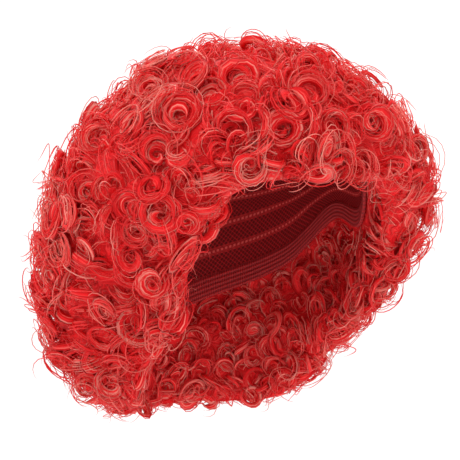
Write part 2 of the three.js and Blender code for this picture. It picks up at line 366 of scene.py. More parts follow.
def outer_places(count=9000):
    """The rings that catch the eye, then places along the edge, then places anywhere."""
    rings = np.array(EYE_CATCHERS)
    edge_azimuth = np.linspace(0, 360, EDGE_PLACES, endpoint=False)
    azimuth = np.concatenate([rings[:, 0], edge_azimuth, random.uniform(0, 360, count)])
    length = length_at(azimuth)
    distance = random.uniform(0, 1, len(azimuth)) * (length - 5 * MM)
    first = len(rings)
    distance[:first] = rings[:, 1] * length[:first]
    edge = slice(first, first + EDGE_PLACES)
    distance[edge] = length[edge] - 6 * MM
    points = hair_point(azimuth, distance)
    reach = np.hypot(points[:, 0], points[:, 1])
    likely = random.uniform(0, HAIR_HALF_WIDTH, len(reach)) < reach
    likely[: edge.stop] = True
    azimuth, distance, points = azimuth[likely], distance[likely], points[likely]
    chosen = apart(points, OUTER_SPACING)
    azimuth, distance = azimuth[chosen], distance[chosen]
    right, up, out = hair_frame(azimuth, distance)
    ring = np.where(chosen < first, np.append(rings[:, 2], 0)[np.minimum(chosen, first)], 0) * MM
    row = row_of(azimuth, distance)
    return {"point": points[chosen], "right": right, "up": up, "out": out, "row": row, "ring": ring}


outer = outer_places()
print(len(outer["row"]), "ringlets outside, by row", np.bincount(outer["row"])[1:])
print((outer["ring"] > 0).sum(), "of", len(EYE_CATCHERS), "eye-catching rings placed")

# %% [markdown]
# Smaller ringlets fill what these leave open, a little deeper.

# %% Places between
FILLER_SPACING, FILLER_GAP = 15 * MM, 10.5 * MM


def filler_places(taken, count=6000):
    """Places that lie at least a gap away from those taken."""
    azimuth = random.uniform(0, 360, count)
    distance = random.uniform(0, 1, count) * (length_at(azimuth) - 4 * MM)
    points = hair_point(azimuth, distance)
    gap = np.sqrt(((points[:, None, :] - taken[None]) ** 2).sum(-1)).min(1)
    free = gap > FILLER_GAP
    azimuth, distance, points = azimuth[free], distance[free], points[free]
    chosen = apart(points, FILLER_SPACING)
    azimuth, distance = azimuth[chosen], distance[chosen]
    right, up, out = hair_frame(azimuth, distance)
    row = row_of(azimuth, distance)
    sunk = points[chosen] - out * 2.5 * MM
    return {"point": sunk, "right": right, "up": up, "out": out, "row": row, "ring": np.zeros(len(row))}


filler = filler_places(outer["point"])
print(len(filler["row"]), "ringlets between, by row", np.bincount(filler["row"])[1:])

# %% [markdown]
# The underside of the edge, between the outermost curls and the head, carries ringlets too. They are what
# hangs over the forehead and beside the cheeks.

# %% Places under the edge
RIM_SPACING = 11 * MM
RIM_SHARES = (-0.1, 0.45, 0.85)


def rim_places():
    """Places at shares of the way from the outer edge to the head, all round."""
    azimuth = np.tile(np.arange(360.0), len(RIM_SHARES))
    share = np.repeat(RIM_SHARES, 360)
    edge = hair_point(azimuth, length_at(azimuth))
    head = place_at(azimuth, head_reach(azimuth, edge[:, 2], HAIR_CLEARANCE), edge[:, 2])
    point = edge + (head - edge) * share[:, None]
    after, before = azimuth + 1, azimuth - 1
    right = unit(hair_point(after, length_at(after)) - hair_point(before, length_at(before)))
    out = unit(np.cross(right, head - edge))
    away = edge - hair_point(azimuth, length_at(azimuth) - 15 * MM)
    out = np.where((out * away).sum(-1, keepdims=True) < 0, -out, out)
    outward = unit(edge * np.array([1, 1, 0]))
    out = unit(out + outward * np.where(share < 0, 0.9, 0)[:, None])
    up = unit(np.cross(out, right))
    kept = apart(point, RIM_SPACING)
    row = row_of(azimuth, length_at(azimuth) - MM)
    places = {"point": point, "right": right, "up": up, "out": out, "row": row, "ring": np.zeros(len(row))}
    return {name: values[kept] for name, values in places.items()}


rim = rim_places()
print(len(rim["row"]), "ringlets under the edge, by row", np.bincount(rim["row"], minlength=10)[1:])

# %% [markdown]
# Below the cap's edge the hair lies against the face and neck, and its inner side shows when the wig is
# off the head. Its ringlets are pressed flat there.

# %% The cap's edge
CAP_FRONT_HEIGHT, CAP_NAPE_HEIGHT = 36 * MM, -76 * MM
CAP_EDGE = [(0, 0), (30, 0.02), (45, 0.14), (60, 0.42), (90, 0.4), (125, 0.72), (180, 1)]


def cap_edge_height(azimuth):
    """The height of the cap's edge, above the brow in front and low on the nape."""
    share = smooth_column([row[0] for row in CAP_EDGE], [row[1] for row in CAP_EDGE])
    drop = CAP_NAPE_HEIGHT - CAP_FRONT_HEIGHT
    return CAP_FRONT_HEIGHT + drop * np.interp(folded(azimuth), DEGREES, share)


# %% Places on the inside
INNER_SPACING = 10.5 * MM


def inner_places(count=6000):
    """Places on the hair's inner side, from the cap's edge down to the lowest curls."""
    azimuth = random.uniform(40, 320, count)
    edge = hair_point(azimuth, length_at(azimuth))[:, 2]
    top = cap_edge_height(azimuth) - 4 * MM
    height = edge + 6 * MM + (top - edge - 6 * MM) * random.uniform(0, 1, count)
    kept = top > edge + 10 * MM
    azimuth, height = azimuth[kept], height[kept]
    outward = place_at(azimuth, 1, 0 * azimuth)
    point = place_at(azimuth, head_reach(azimuth, height, HAIR_CLEARANCE), height)
    chosen = apart(point, INNER_SPACING)
    azimuth, height, outward = azimuth[chosen], height[chosen], outward[chosen]
    last = PROFILES.shape[1] - 1
    lower_half = PROFILES[np.round(folded(azimuth)).astype(int)][:, last // 2 :, 1]
    nearest = last // 2 + np.abs(lower_half - height[:, None]).argmin(1)
    distance = nearest / last * length_at(azimuth)
    up = np.tile([0.0, 0, 1], (len(azimuth), 1))
    return {
        "point": point[chosen],
        "right": np.cross(up, outward),
        "up": up,
        "out": -outward,
        "row": row_of(azimuth, distance),
        "ring": np.zeros(len(azimuth)),
    }


inner = inner_places()
print(len(inner["row"]), "ringlets inside, by row", np.bincount(inner["row"], minlength=10)[1:])

# %% [markdown]
# ## How a ringlet is wound
# Each ringlet winds round an axis of its own. On the outside two in three stand out from the head, so
# that the eye looks into a ring with a dark middle. The others lie along it as wavy coils. All that grows
# in one ringlet, from its broad locks to its finest strand, follows the same winding, so the numbers of
# the winding are drawn once for each. The rings that catch the eye face the camera more than the rest.

# %% How a ringlet is wound
def draw_windings(places, standing, least, most, rise, root, bury=1.0, uneven=0.0):
    """One winding for each place: its axis, radius, turns, hand and phase, its rise and how deep it sits.

    standing is the share of ringlets that stand out, bury the share of its radius by which a lying one is
    sunk, and uneven the range over which the places move in and out.
    """
    n = len(places["row"])
    ring = places["ring"] > 0
    stands = (random.random(n) < standing) | ring
    lean = np.radians(np.where(stands, random.uniform(5, 50, n), random.uniform(55, 85, n)))
    bearing = random.normal(-math.pi / 2, 1.3, n)
    sideways = places["right"] * np.cos(bearing)[:, None] + places["up"] * np.sin(bearing)[:, None]
    axis = unit(places["out"] * np.cos(lean)[:, None] + sideways * np.sin(lean)[:, None])
    to_viewer = np.array(toward(VIEW_AZIMUTH, VIEW_ELEVATION))
    axis = np.where(ring[:, None], unit(unit(places["out"]) * 0.8 + to_viewer), axis)
    lean = np.where(ring, np.arccos(np.clip((axis * places["out"]).sum(-1), -1, 1)), lean)
    other = np.where(np.abs(axis[:, 2:]) < 0.9, [[0.0, 0, 1]], [[1.0, 0, 0]])
    first = unit(np.cross(axis, other))
    oval = np.where(ring, 1, random.uniform(0.7, 1.05, n))[:, None]
    windings = dict(places)
    moved = random.uniform(-0.4 * uneven, 0.6 * uneven, n)
    windings.update(
        point=places["point"] + places["out"] * moved[:, None],
        lean=lean,
        axis=axis,
        first=first * oval,
        second=np.cross(axis, first),
        radius=np.where(ring, places["ring"], random.uniform(least, most, n)),
        turns=np.where(ring, 1.6, random.uniform(1.1, 1.6, n)),
        rise=np.full(n, rise),
        root=np.full(n, root),
        bury=np.full(n, bury),
        hand=np.where(random.random(n) < 0.5, -1.0, 1.0),
        phase=random.uniform(0, 2 * math.pi, n),
        shade=random.normal(0, 0.1, n),
    )
    return windings


windings = {
    "outer": draw_windings(outer, 0.68, 9 * MM, 15 * MM, 9 * MM, 15 * MM, uneven=9 * MM),
    "filler": draw_windings(filler, 0.5, 7.5 * MM, 12 * MM, 9 * MM, 13 * MM, uneven=4 * MM),
    "rim": draw_windings(rim, 0.6, 8 * MM, 12 * MM, 8 * MM, 12 * MM),
    "inner": draw_windings(inner, 0.9, 8 * MM, 12.5 * MM, 5 * MM, 10 * MM, 0.35),
}

# %% [markdown]
# A point on a winding is found from how far along it lies. The radius grows from the root and shrinks
# again to the tip. Near the root the path bends down to where the hair is sewn on, so that no cut end
# shows.

# %% The path along a winding
def follow(winding, which, share, lag, lift, wobble, steps):
    """Paths along the windings numbered in which, at shares of their radius, lagging by an angle.

    Returns the paths, their spokes from the axis, the axes and how far along each point is.
    """
    pick = {name: values[which] for name, values in winding.items()}
    m = len(which)
    t = np.concatenate([[0], np.linspace(0.13, 1, steps - 1)])[None, :]
    lean = pick["lean"][:, None]
    along = 0.9 * pick["rise"][:, None]
    low = -pick["rise"][:, None] * np.cos(lean) - along * np.sin(lean)
    high = lift[:, None] * np.cos(lean) + along * np.sin(lean)
    swell = 0.55 + 0.45 * np.clip(t / 0.35, 0, 1)
    tip_in = random.uniform(0.1, 0.55, m)[:, None]
    closing = 1 - tip_in * np.clip((t - 0.6) / 0.4, 0, 1) ** 1.4
    reach = pick["radius"][:, None] * share[:, None] * swell * closing
    angle = (pick["phase"] + lag)[:, None] + (pick["hand"] * pick["turns"] * 2 * math.pi)[:, None] * t
    sunk = (pick["radius"] * pick["bury"])[:, None] * np.sin(lean) - lift[:, None] * np.sin(lean)
    middle = pick["point"][:, None, :] - pick["out"][:, None, :] * sunk[..., None]
    middle = middle + pick["axis"][:, None, :] * (low + (high - low) * t)[..., None]
    spoke = pick["first"][:, None, :] * np.cos(angle)[..., None]
    spoke = spoke + pick["second"][:, None, :] * np.sin(angle)[..., None]
    sway = sum(
        random.normal(0, wobble, (m, 1, 3))
        * np.sin(random.uniform(3, 11, (m, 1)) * t + random.uniform(0, 6.3, (m, 1)))[..., None]
        for _ in range(3)
    )
    droop = random.uniform(0, 5, m)[:, None] * MM * t**2
    path = middle + spoke * reach[..., None] + sway - np.array([0, 0, 1.0]) * droop[..., None]
    root = pick["point"] - pick["out"] * pick["root"][:, None] + random.normal(0, 2.5 * MM, (m, 3))
    blend = np.clip(t / 0.3, 0, 1)
    blend = (blend * blend * (3 - 2 * blend))[..., None]
    path = root[:, None, :] * (1 - blend) + path * blend
    return path, spoke, pick["axis"], t


# %% [markdown]
# ## From a path to hair
# A strand is a thin three-sided tube, and a lock is a flat one with four sides, 2 to 12 mm wide, whose
# fine lines come from its material. Each closes at both ends. Thousands of them are made at once, as
# arrays.

# %% Tubes along paths
def tubes(path, wide, half_width, half_depth, sides):
    """The corners round each point of each path; the tube is widest along the directions in wide.

    It starts at 0.7 of its width and thins out over its last sixth.
    """
    along = unit(np.gradient(path, axis=1))
    side = unit(wide - along * (along * wide).sum(-1, keepdims=True))
    other = np.cross(along, side)
    t = np.linspace(0, 1, path.shape[1])[None, :, None]
    taper = np.clip(np.minimum(0.7 + 2 * t, (1 - t) * 6), 0.04, 1)
    rings = []
    for n in range(sides):
        angle = n * 2 * math.pi / sides
        offset = side * math.cos(angle) * half_width[..., None]
        offset = offset + other * math.sin(angle) * half_depth[..., None]
        rings.append(path + offset * taper)
    return np.stack(rings, axis=2)


def tube_pattern(steps, sides):
    """One tube's triangles, and where each of their corners lies across and along the tube."""
    faces, marks = [], []
    for i in range(steps - 1):
        low, high = 0.02 + 0.96 * i / (steps - 1), 0.02 + 0.96 * (i + 1) / (steps - 1)
        for n in range(sides):
            a, b = i * sides + n, i * sides + (n + 1) % sides
            left, right = n / sides, (n + 1) / sides
            faces += [(a, b, b + sides), (a, b + sides, a + sides)]
            marks += [((left, low), (right, low), (right, high)), ((left, low), (right, high), (left, high))]
    last = (steps - 1) * sides
    for n in range(1, sides - 1):
        left, right = n / sides, (n + 1) / sides
        faces += [(0, n + 1, n), (last, last + n, last + n + 1)]
        marks += [((left, 0), (right, 0), (left, 0.012)), ((left, 1), (left, 0.988), (right, 1))]
    return np.array(faces), np.array(marks, float)


print(len(tube_pattern(18, 3)[0]), "triangles in a strand,", len(tube_pattern(18, 4)[0]), "in a lock")

# %% [markdown]
# Locks come first. They fill a ringlet's body. A standing ringlet's lock lies like a washer round its
# axis, and a lying one's like a spring's flat wire. Each twists a little on its way and grows wider and
# narrower, because an even band looks like ribbon.

# %% Locks
LOCK_STEPS, LOCK_SIDES = 18, 4
STANDING_LEAN = 50
LYING_WIDTH = 0.62


def grow_locks(winding, number):
    """A number of locks for each ringlet: their corners, the tone of each corner, and their rows."""
    which = np.repeat(np.arange(len(winding["row"])), number)
    m = len(which)
    stands = np.degrees(winding["lean"][which]) < STANDING_LEAN
    share = np.tile(np.linspace(0.82, 0.42, number), len(winding["row"])) + random.normal(0, 0.05, m)
    lift = (random.normal(-3.2, 0.8, m) - (1 - share) * 5) * MM
    lag = np.tile(np.linspace(0, 2.4, number), len(winding["row"])) + random.normal(0, 0.3, m)
    path, spoke, axis, t = follow(winding, which, share, lag, lift, 0.5 * MM, LOCK_STEPS)
    path = clear_of_head(path, 3.5 * MM)
    tip = np.radians(np.where(stands, random.uniform(5, 40, m), random.uniform(50, 85, m)))
    twist = np.radians(random.normal(0, 35, m))
    tip = (tip[:, None] + twist[:, None] * (2 * t - 1))[..., None]
    wide = spoke * np.cos(tip) + axis[:, None, :] * np.sin(tip)
    ragged = 1 + 0.28 * np.sin(random.uniform(5, 16, (m, 1)) * t + random.uniform(0, 6.3, (m, 1)))
    half_width = winding["radius"][which] * random.uniform(0.2, 0.34, m)
    half_width = (half_width * np.where(stands, 1, LYING_WIDTH))[:, None] * ragged
    half_depth = random.uniform(0.8, 1.3, m)[:, None] * MM
    corners = tubes(path, wide, half_width, half_depth, LOCK_SIDES)
    # Locks start from a lower tone than the strands over them: painted shade on the ringlet's body beneath
    # its strands.
    tone = np.clip(0.34 + winding["shade"][which] + random.normal(0, 0.08, m), 0.1, 0.6)
    # The tone falls towards the root and rises towards the tip: painted shade where the lock goes down into
    # the hair, painted light at its end.
    tone_with_root_shade = tone[:, None] + 0.22 * (np.linspace(0, 1, LOCK_STEPS)[None, :] - 0.6)
    return corners, np.repeat(tone_with_root_shade[:, :, None], LOCK_SIDES, axis=2), winding["row"][which]


# %% [markdown]
# Then the strands. Most run side by side near the ring's outer edge, and some sit deeper, towards its
# middle. Beside them a few wisps stray outside the ring, which gives the wig its fuzzy outline.

# %% Strands and wisps
STRAND_STEPS, SHORT_STEPS, WISP_STEPS, STRAND_SIDES = 18, 15, 22, 3
STRAND_WIDTH = 0.68 * MM


def grow_strands(winding, number, steps, share, lift, shade):
    """Strands at random shares of the radius and lifts above the ringlet, each drawn between two bounds.

    A number below 1 is the share of the ringlets that get one.
    """
    places = np.arange(len(winding["row"]))
    which = np.repeat(places, number) if number >= 1 else places[random.random(len(places)) < number]
    m = len(which)
    inward = random.random(m) ** 1.4
    shares = share[0] + (share[1] - share[0]) * inward
    lifts = random.uniform(lift[0], lift[1], m) * MM - (1 - shares).clip(0) * 6 * MM
    lag = random.uniform(-math.pi, math.pi, m) * 0.55
    path, _, axis, _ = follow(winding, which, shares, lag, lifts, 0.6 * MM, steps)
    path = clear_of_head(path, 2 * MM)
    half = STRAND_WIDTH / 2 * random.uniform(0.7, 1.25, m)[:, None]
    wide = np.broadcast_to(axis[:, None, :], path.shape)
    corners = tubes(path, wide, half, half, STRAND_SIDES)
    # About 15% of the strands are 0.3 lighter, towards the ramp's salmon: painted highlights.
    tone = shade + winding["shade"][which] + random.normal(0, 0.18, m) + 0.3 * (random.random(m) < 0.15)
    # The tone falls towards the root and rises towards the tip: painted shade where the strand goes down into
    # the hair, painted light at its end.
    tone_with_root_shade = tone[:, None] + 0.25 * (np.linspace(0, 1, steps)[None, :] - 0.6)
    return corners, np.repeat(tone_with_root_shade[:, :, None], STRAND_SIDES, axis=2), winding["row"][which]


locks = [grow_locks(winding, 1 if name == "filler" else 2) for name, winding in windings.items()]
strands = [
    grow_strands(windings["outer"], 9, STRAND_STEPS, (1.08, 0.3), (-1.5, 2), 0.5),
    grow_strands(windings["rim"], 6, STRAND_STEPS, (1.05, 0.3), (-1.5, 2), 0.5),
]
short_strands = [
    grow_strands(windings["filler"], 5, SHORT_STEPS, (1.1, 0.4), (-1.5, 1.5), 0.46),
    grow_strands(windings["inner"], 4, SHORT_STEPS, (1.1, 0.4), (0, 1), 0.5),
]
wisps = [
    grow_strands(windings["outer"], 0.7, WISP_STEPS, (1.0, 1.4), (0, 6), 0.6),
    grow_strands(windings["rim"], 0.7, WISP_STEPS, (1.0, 1.35), (0, 6), 0.6),
]
print(sum(len(made[0]) for made in locks), "locks")
print(sum(len(made[0]) for made in strands + short_strands + wisps), "strands and wisps")

# %% [markdown]
# ## The pile under the ringlets
# Deeper down the fibres are too dense to tell apart. That part is one closed body for each row, with a
# lumpy outer side. Its inner side follows the head, and below the cap's edge, where it shows, it is
# hollowed and lumpy too.

# %% The pile's form
PILE_DEPTH = 13.5 * MM
EDGE_CUT = 7 * MM
EDGE_REACH = 110 * MM
EDGE_STEP = EDGE_REACH * math.radians(1)
EDGE_SLANT = np.sqrt(1 + (np.gradient(LENGTHS) / EDGE_STEP) ** 2).clip(1, 2.2)


def head_point(azimuth, distance, clearance):
    """The head's surface behind a point of the outer form: towards the head's middle, or level below it."""
    point = hair_point(azimuth, distance)
    reach = np.hypot(point[..., 0], point[..., 1])
    low, high = np.zeros(reach.shape), np.ones(reach.shape)
    for _ in range(30):
        middle = (low + high) / 2
        inside = middle * reach < head_reach(azimuth, middle * point[..., 2], clearance)
        low, high = np.where(inside, middle, low), np.where(inside, high, middle)
    level = head_reach(azimuth, point[..., 2], clearance) / np.maximum(reach, 1e-6)
    scale = np.where(point[..., 2] < 0, level, high)
    height = np.where(point[..., 2] < 0, 1, high)
    return point * np.stack([scale, scale, height], -1)


def lumps(points, size):
    """Smooth unevenness from -1 to 1."""
    x, y, z = np.moveaxis(points / size, -1, 0)
    wave = np.sin(x * 1.7 + 2 * np.sin(y * 1.1)) + np.sin(y * 1.9 + 2 * np.sin(z * 1.3)) + np.sin(z * 2.1 + x)
    return wave / 3


def pile_grid(row, around=132, across=9):
    """The azimuths and distances that a row's pile covers."""
    start = ROW_STARTS[row]
    azimuth = np.linspace(start, 360 - start, around + 1)[:, None] + np.zeros((1, across + 1))
    height = np.interp(folded(azimuth), DEGREES, ROW_HEIGHTS)
    top = np.maximum(0, (row - 1) * height - MM)
    lowest = folded(azimuth) < ROW_STARTS[row + 1]
    cut = EDGE_CUT * np.interp(folded(azimuth), DEGREES, EDGE_SLANT)
    bottom = np.where(lowest, length_at(azimuth) - cut, row * height + MM)
    return azimuth, top + (np.maximum(bottom, top + 2 * MM) - top) * np.linspace(0, 1, across + 1)[None, :]


# %% The pile's skin
def merge_corners(corners, faces, marks, border):
    """Merges corners that meet, and drops the triangles that this leaves without an area."""
    keys = np.round(corners * 1e6).astype(np.int64)
    _, first, number = np.unique(keys, axis=0, return_index=True, return_inverse=True)
    faces = number.reshape(-1)[faces]
    full = (faces[:, 0] != faces[:, 1]) & (faces[:, 1] != faces[:, 2]) & (faces[:, 2] != faces[:, 0])
    return corners[first], faces[full], marks[full], border[first]


def pile_mesh(row):
    """The corners and triangles of a row's pile, and where each corner lies on a flat map."""
    azimuth, distance = pile_grid(row)
    form = hair_point(azimuth, distance)
    inside = head_point(azimuth, distance, HAIR_CLEARANCE)
    free = np.clip((cap_edge_height(azimuth) - inside[..., 2]) / (10 * MM), 0, 1)
    thickness = np.linalg.norm(form - inside, axis=-1)
    hollow = free * np.minimum((8 + 2 * lumps(inside, 7 * MM)) * MM, 0.33 * thickness)
    inside = inside + unit(form - inside) * hollow[..., None]
    depth = np.minimum(PILE_DEPTH, 0.52 * thickness) - 2 * MM * lumps(form, 9 * MM)
    outside = form - unit(form) * depth[..., None]
    rows, cols = azimuth.shape
    section = np.concatenate([outside, inside[:, ::-1]], axis=1)
    count = section.shape[1]
    number = np.arange(rows * count).reshape(rows, count)
    turn = np.roll(number, -1, axis=1)
    four = np.stack([number[:-1], turn[:-1], turn[1:], number[1:]], -1).reshape(-1, 4)
    grid = np.stack(np.meshgrid(np.linspace(0, 1, rows), np.linspace(0, 1, count + 1), indexing="ij"), -1)
    mark = np.stack([grid[:-1, :-1], grid[:-1, 1:], grid[1:, 1:], grid[1:, :-1]], axis=2).reshape(-1, 4, 2)
    faces = np.concatenate([four[:, [0, 1, 2]], four[:, [0, 2, 3]]])
    marks = np.concatenate([mark[:, [0, 1, 2]], mark[:, [0, 2, 3]]])
    if ROW_STARTS[row] > 0:
        ends = []
        for ring, turned in ((number[0], False), (number[-1], True)):
            for j in range(cols - 1):
                a, b, c, d = ring[j], ring[j + 1], ring[count - 2 - j], ring[count - 1 - j]
                ends += [(a, c, b), (a, d, c)] if not turned else [(a, b, c), (a, c, d)]
        faces = np.concatenate([faces, np.array(ends)])
        marks = np.concatenate([marks, np.tile([[0, 0], [0.002, 0], [0, 0.002]], (len(ends), 1, 1))])
    border = np.zeros((rows, count), dtype=bool)
    border[:, [0, cols - 1, cols, count - 1]] = True
    return merge_corners(section.reshape(-1, 3), faces, marks, border.reshape(-1))


# %% [markdown]
# ## One piece for each row
# A row's pile, locks and strands go into one mesh. Each tube has its own cell on the piece's flat map, a
# narrow upright strip. A second map runs along each tube in its own measure, which the fine lines of the
# fibre follow.

# %% Cells on the flat map
def cells(count, low, high, rows):
    """The lower left corner and the size of count cells between two heights of the flat map."""
    columns = math.ceil(count / rows)
    number = np.arange(count)
    size = np.array([1 / columns, (high - low) / rows])
    corner = np.stack([number % columns, number // columns], -1) * size + np.array([0, low])
    return corner + 0.06 * size, 0.88 * size


def add_tubes(parts, made, row, low, high, map_rows, slot):
    """Adds the tubes of one row to the mesh parts."""
    corners = np.concatenate([item[0][item[2] == row] for item in made])
    tone = np.concatenate([item[1][item[2] == row] for item in made])
    count, steps, sides = corners.shape[:3]
    faces, marks = tube_pattern(steps, sides)
    base = sum(len(part) for part in parts["corners"]) + np.arange(count)[:, None, None] * steps * sides
    parts["corners"].append(corners.reshape(-1, 3))
    parts["tone"].append(tone.reshape(-1))
    parts["faces"].append((base + faces[None]).reshape(-1, 3))
    corner, size = cells(count, low, high, map_rows)
    parts["flat"].append((corner[:, None, None, :] + marks[None] * size).reshape(-1, 3, 2))
    shift = random.uniform(0, 50, (count, 1, 1, 2))
    parts["fibre"].append((marks[None] + shift).reshape(-1, 3, 2))
    parts["slot"].append(np.full(count * len(faces), slot))


# %% Rows as meshes
STRAND_SLOT, LOCK_SLOT, PILE_SLOT = 0, 1, 2
MAP_STRIPS = [
    (locks, 0.26, 0.54, 3, LOCK_SLOT),
    (strands, 0.55, 0.8, 6, STRAND_SLOT),
    (short_strands, 0.81, 0.93, 3, STRAND_SLOT),
    (wisps, 0.935, 1, 1, STRAND_SLOT),
]


def make_row(row):
    """A row's mesh; the pile takes the flat map's lowest strip, and the tubes those in the table."""
    corners, faces, marks, border = pile_mesh(row)
    parts = {
        "corners": [corners],
        "tone": [np.full(len(corners), 0.4)],
        "faces": [faces],
        "flat": [marks * [0.98, 0.24] + [0.01, 0.005]],
        "fibre": [marks],
        "slot": [np.full(len(faces), PILE_SLOT)],
    }
    for made, low, high, map_rows, slot in MAP_STRIPS:
        add_tubes(parts, made, row, low, high, map_rows, slot)
    joined = {name: np.concatenate(values) for name, values in parts.items()}
    mesh = bpy.data.meshes.new(f"curls_row_{row}")
    mesh.vertices.add(len(joined["corners"]))
    mesh.vertices.foreach_set("co", joined["corners"].astype(np.float32).ravel())
    count = len(joined["faces"])
    mesh.loops.add(3 * count)
    mesh.loops.foreach_set("vertex_index", joined["faces"].astype(np.int32).ravel())
    mesh.polygons.add(count)
    mesh.polygons.foreach_set("loop_start", np.arange(0, 3 * count, 3, dtype=np.int32))
    mesh.polygons.foreach_set("use_smooth", np.ones(count, dtype=bool))
    mesh.polygons.foreach_set("material_index", joined["slot"].astype(np.int32))
    mesh.update(calc_edges=True)
    for name, key in (("OFBake", "flat"), ("fibre map", "fibre")):
        layer = mesh.uv_layers.new(name=name)
        layer.data.foreach_set("uv", joined[key].astype(np.float32).ravel())
    edges = np.empty(2 * len(mesh.edges), dtype=np.int32)
    mesh.edges.foreach_get("vertices", edges)
    on_border = np.zeros(len(mesh.vertices), dtype=bool)
    on_border[: len(border)] = border
    sharp = mesh.attributes.new("sharp_edge", "BOOLEAN", "EDGE")
    sharp.data.foreach_set("value", on_border[edges.reshape(-1, 2)].all(1))
    attribute = mesh.attributes.new("tone", "FLOAT", "POINT")
    attribute.data.foreach_set("value", joined["tone"].astype(np.float32))
    piece = bpy.data.objects.new(f"curls_row_{row}", mesh)
    scene.collection.objects.link(piece)
    print(piece.name, count, "triangles")
    return piece


row_pieces = [make_row(row) for row in range(1, BACK_ROWS + 1)]
print("triangles in all", sum(len(piece.data.polygons) for piece in row_pieces))

# %% [markdown]
# ## The fibre
# The fibre is a bright red synthetic. One group of nodes colours it: fine lines run along each lock, and a
# ramp turns the tone into the colour. Its lowest stops are a deep red, painted shade, and its top stop a
# salmon, painted highlight; the reds between are the fibre's own. Strands, locks and pile use it with their
# own values.

# %% Nodes
def add_node(tree, kind, values=(), **settings):
    """A node with its settings, and with numbers or sockets as its inputs."""
    node = tree.nodes.new(kind)
    for name, value in settings.items():
        setattr(node, name, value)
    for name, value in dict(values).items():
        if isinstance(value, bpy.types.NodeSocket):
            tree.links.new(value, node.inputs[name])
        else:
            node.inputs[name].default_value = value
    return node


def math_node(tree, operation, *values):
    """The output of a math node with numbers or sockets as its inputs."""
    return add_node(tree, "ShaderNodeMath", enumerate(values), operation=operation).outputs[0]


def add_relief(tree, shader, height, distance, strength=1.0):
    """Feeds a height to the shader's normal; the distance is in metres."""
    values = {"Strength": strength, "Distance": distance, "Height": height}
    bump = add_node(tree, "ShaderNodeBump", values)
    tree.links.new(bump.outputs["Normal"], shader.inputs["Normal"])


# %% Fibre dye, with painted shade and highlight
DYE_SOCKETS = [
    ("Vector", "INPUT", "NodeSocketVector"),
    ("Scale", "INPUT", "NodeSocketFloat"),
    ("Tone", "INPUT", "NodeSocketFloat"),
    ("Contrast", "INPUT", "NodeSocketFloat"),
    ("Color", "OUTPUT", "NodeSocketColor"),
    ("Lines", "OUTPUT", "NodeSocketFloat"),
]
# The deep red stops at the bottom are painted shade, and the salmon stop at the top is a painted highlight.
DYE_AND_PAINTED_LIGHT_STOPS = [
    (0, (0.73, 0.006, 0.009)),
    (0.1, (0.86, 0.011, 0.015)),
    (0.22, (0.9, 0.013, 0.017)),
    (0.55, (0.91, 0.036, 0.036)),
    (1, (0.9, 0.26, 0.21)),
]

dye = bpy.data.node_groups.new("fibre dye with painted shade and highlight", "ShaderNodeTree")
for name, direction, kind in DYE_SOCKETS:
    dye.interface.new_socket(name, in_out=direction, socket_type=kind)
dye_in = dye.nodes.new("NodeGroupInput").outputs
dye_out = dye.nodes.new("NodeGroupOutput").inputs
dye_values = {"Vector": dye_in["Vector"], "Scale": dye_in["Scale"], "Detail": 3}
dye_lines = add_node(dye, "ShaderNodeTexNoise", dye_values).outputs["Fac"]
dye_spread = math_node(dye, "MULTIPLY", math_node(dye, "SUBTRACT", dye_lines, 0.5), dye_in["Contrast"])
dye_tone = math_node(dye, "ADD", dye_spread, dye_in["Tone"])
dye_and_painted_light_ramp = add_node(dye, "ShaderNodeValToRGB", {"Fac": dye_tone})
for position, _ in DYE_AND_PAINTED_LIGHT_STOPS[1:-1]:
    dye_and_painted_light_ramp.color_ramp.elements.new(position)
for stop, (_, color) in zip(dye_and_painted_light_ramp.color_ramp.elements, DYE_AND_PAINTED_LIGHT_STOPS):
    stop.color = (*color, 1)
dye.links.new(dye_and_painted_light_ramp.outputs["Color"], dye_out["Color"])
dye.links.new(dye_lines, dye_out["Lines"])


def add_dye_and_painted_light(tree, shader, vector, scale, contrast, tone, distance, strength):
    """Colours a shader with dyed fibre and raises its lines."""
    values = {"Vector": vector, "Scale": scale, "Contrast": contrast, "Tone": tone}
    dyed = add_node(tree, "ShaderNodeGroup", values, node_tree=dye)
    tree.links.new(dyed.outputs["Color"], shader.inputs["Base Color"])
    add_relief(tree, shader, dyed.outputs["Lines"], distance, strength)


# %% Strand and lock materials
def fibre_material(name, stretch, scale, contrast, roughness, shine, relief, glow):
    """A material whose fine lines follow the fibre map; glow is how much light scatters inside."""
    material, tree, shader = new_material(name, roughness, shine)
    place = add_node(tree, "ShaderNodeUVMap", uv_map="fibre map")
    mapping = add_node(tree, "ShaderNodeMapping", {"Vector": place.outputs["UV"], "Scale": stretch})
    tone = add_node(tree, "ShaderNodeAttribute", attribute_name="tone")
    add_dye_and_painted_light(tree, shader, mapping.outputs["Vector"], scale, contrast, tone.outputs["Fac"], 1 * MM, relief)
    shader.inputs["Subsurface Weight"].default_value = glow
    shader.inputs["Subsurface Radius"].default_value = (1, 0.15, 0.12)
    shader.inputs["Subsurface Scale"].default_value = 3 * MM
    return material


strand_material = fibre_material("curl strand", (0.4, 1.5, 1), 3, 0.6, 0.42, 0.2, 0.1, 0.4)
lock_material = fibre_material("curl lock", (1, 0.09, 1), 12, 5.5, 0.55, 0.15, 1.0, 0)

# %% [markdown]
# In the pile the same fibre lies in small whorls, about a curl's size. Bent cells make them, each with a
# shift of its own, and a drift across them keeps their rings from closing.

# %% Pile material
CURLS_PER_METRE = 55
SWAY_SCALE, SWAY = 50, 0.045
RINGS, CELL_SHIFT, DRIFT = 4, 20, 25

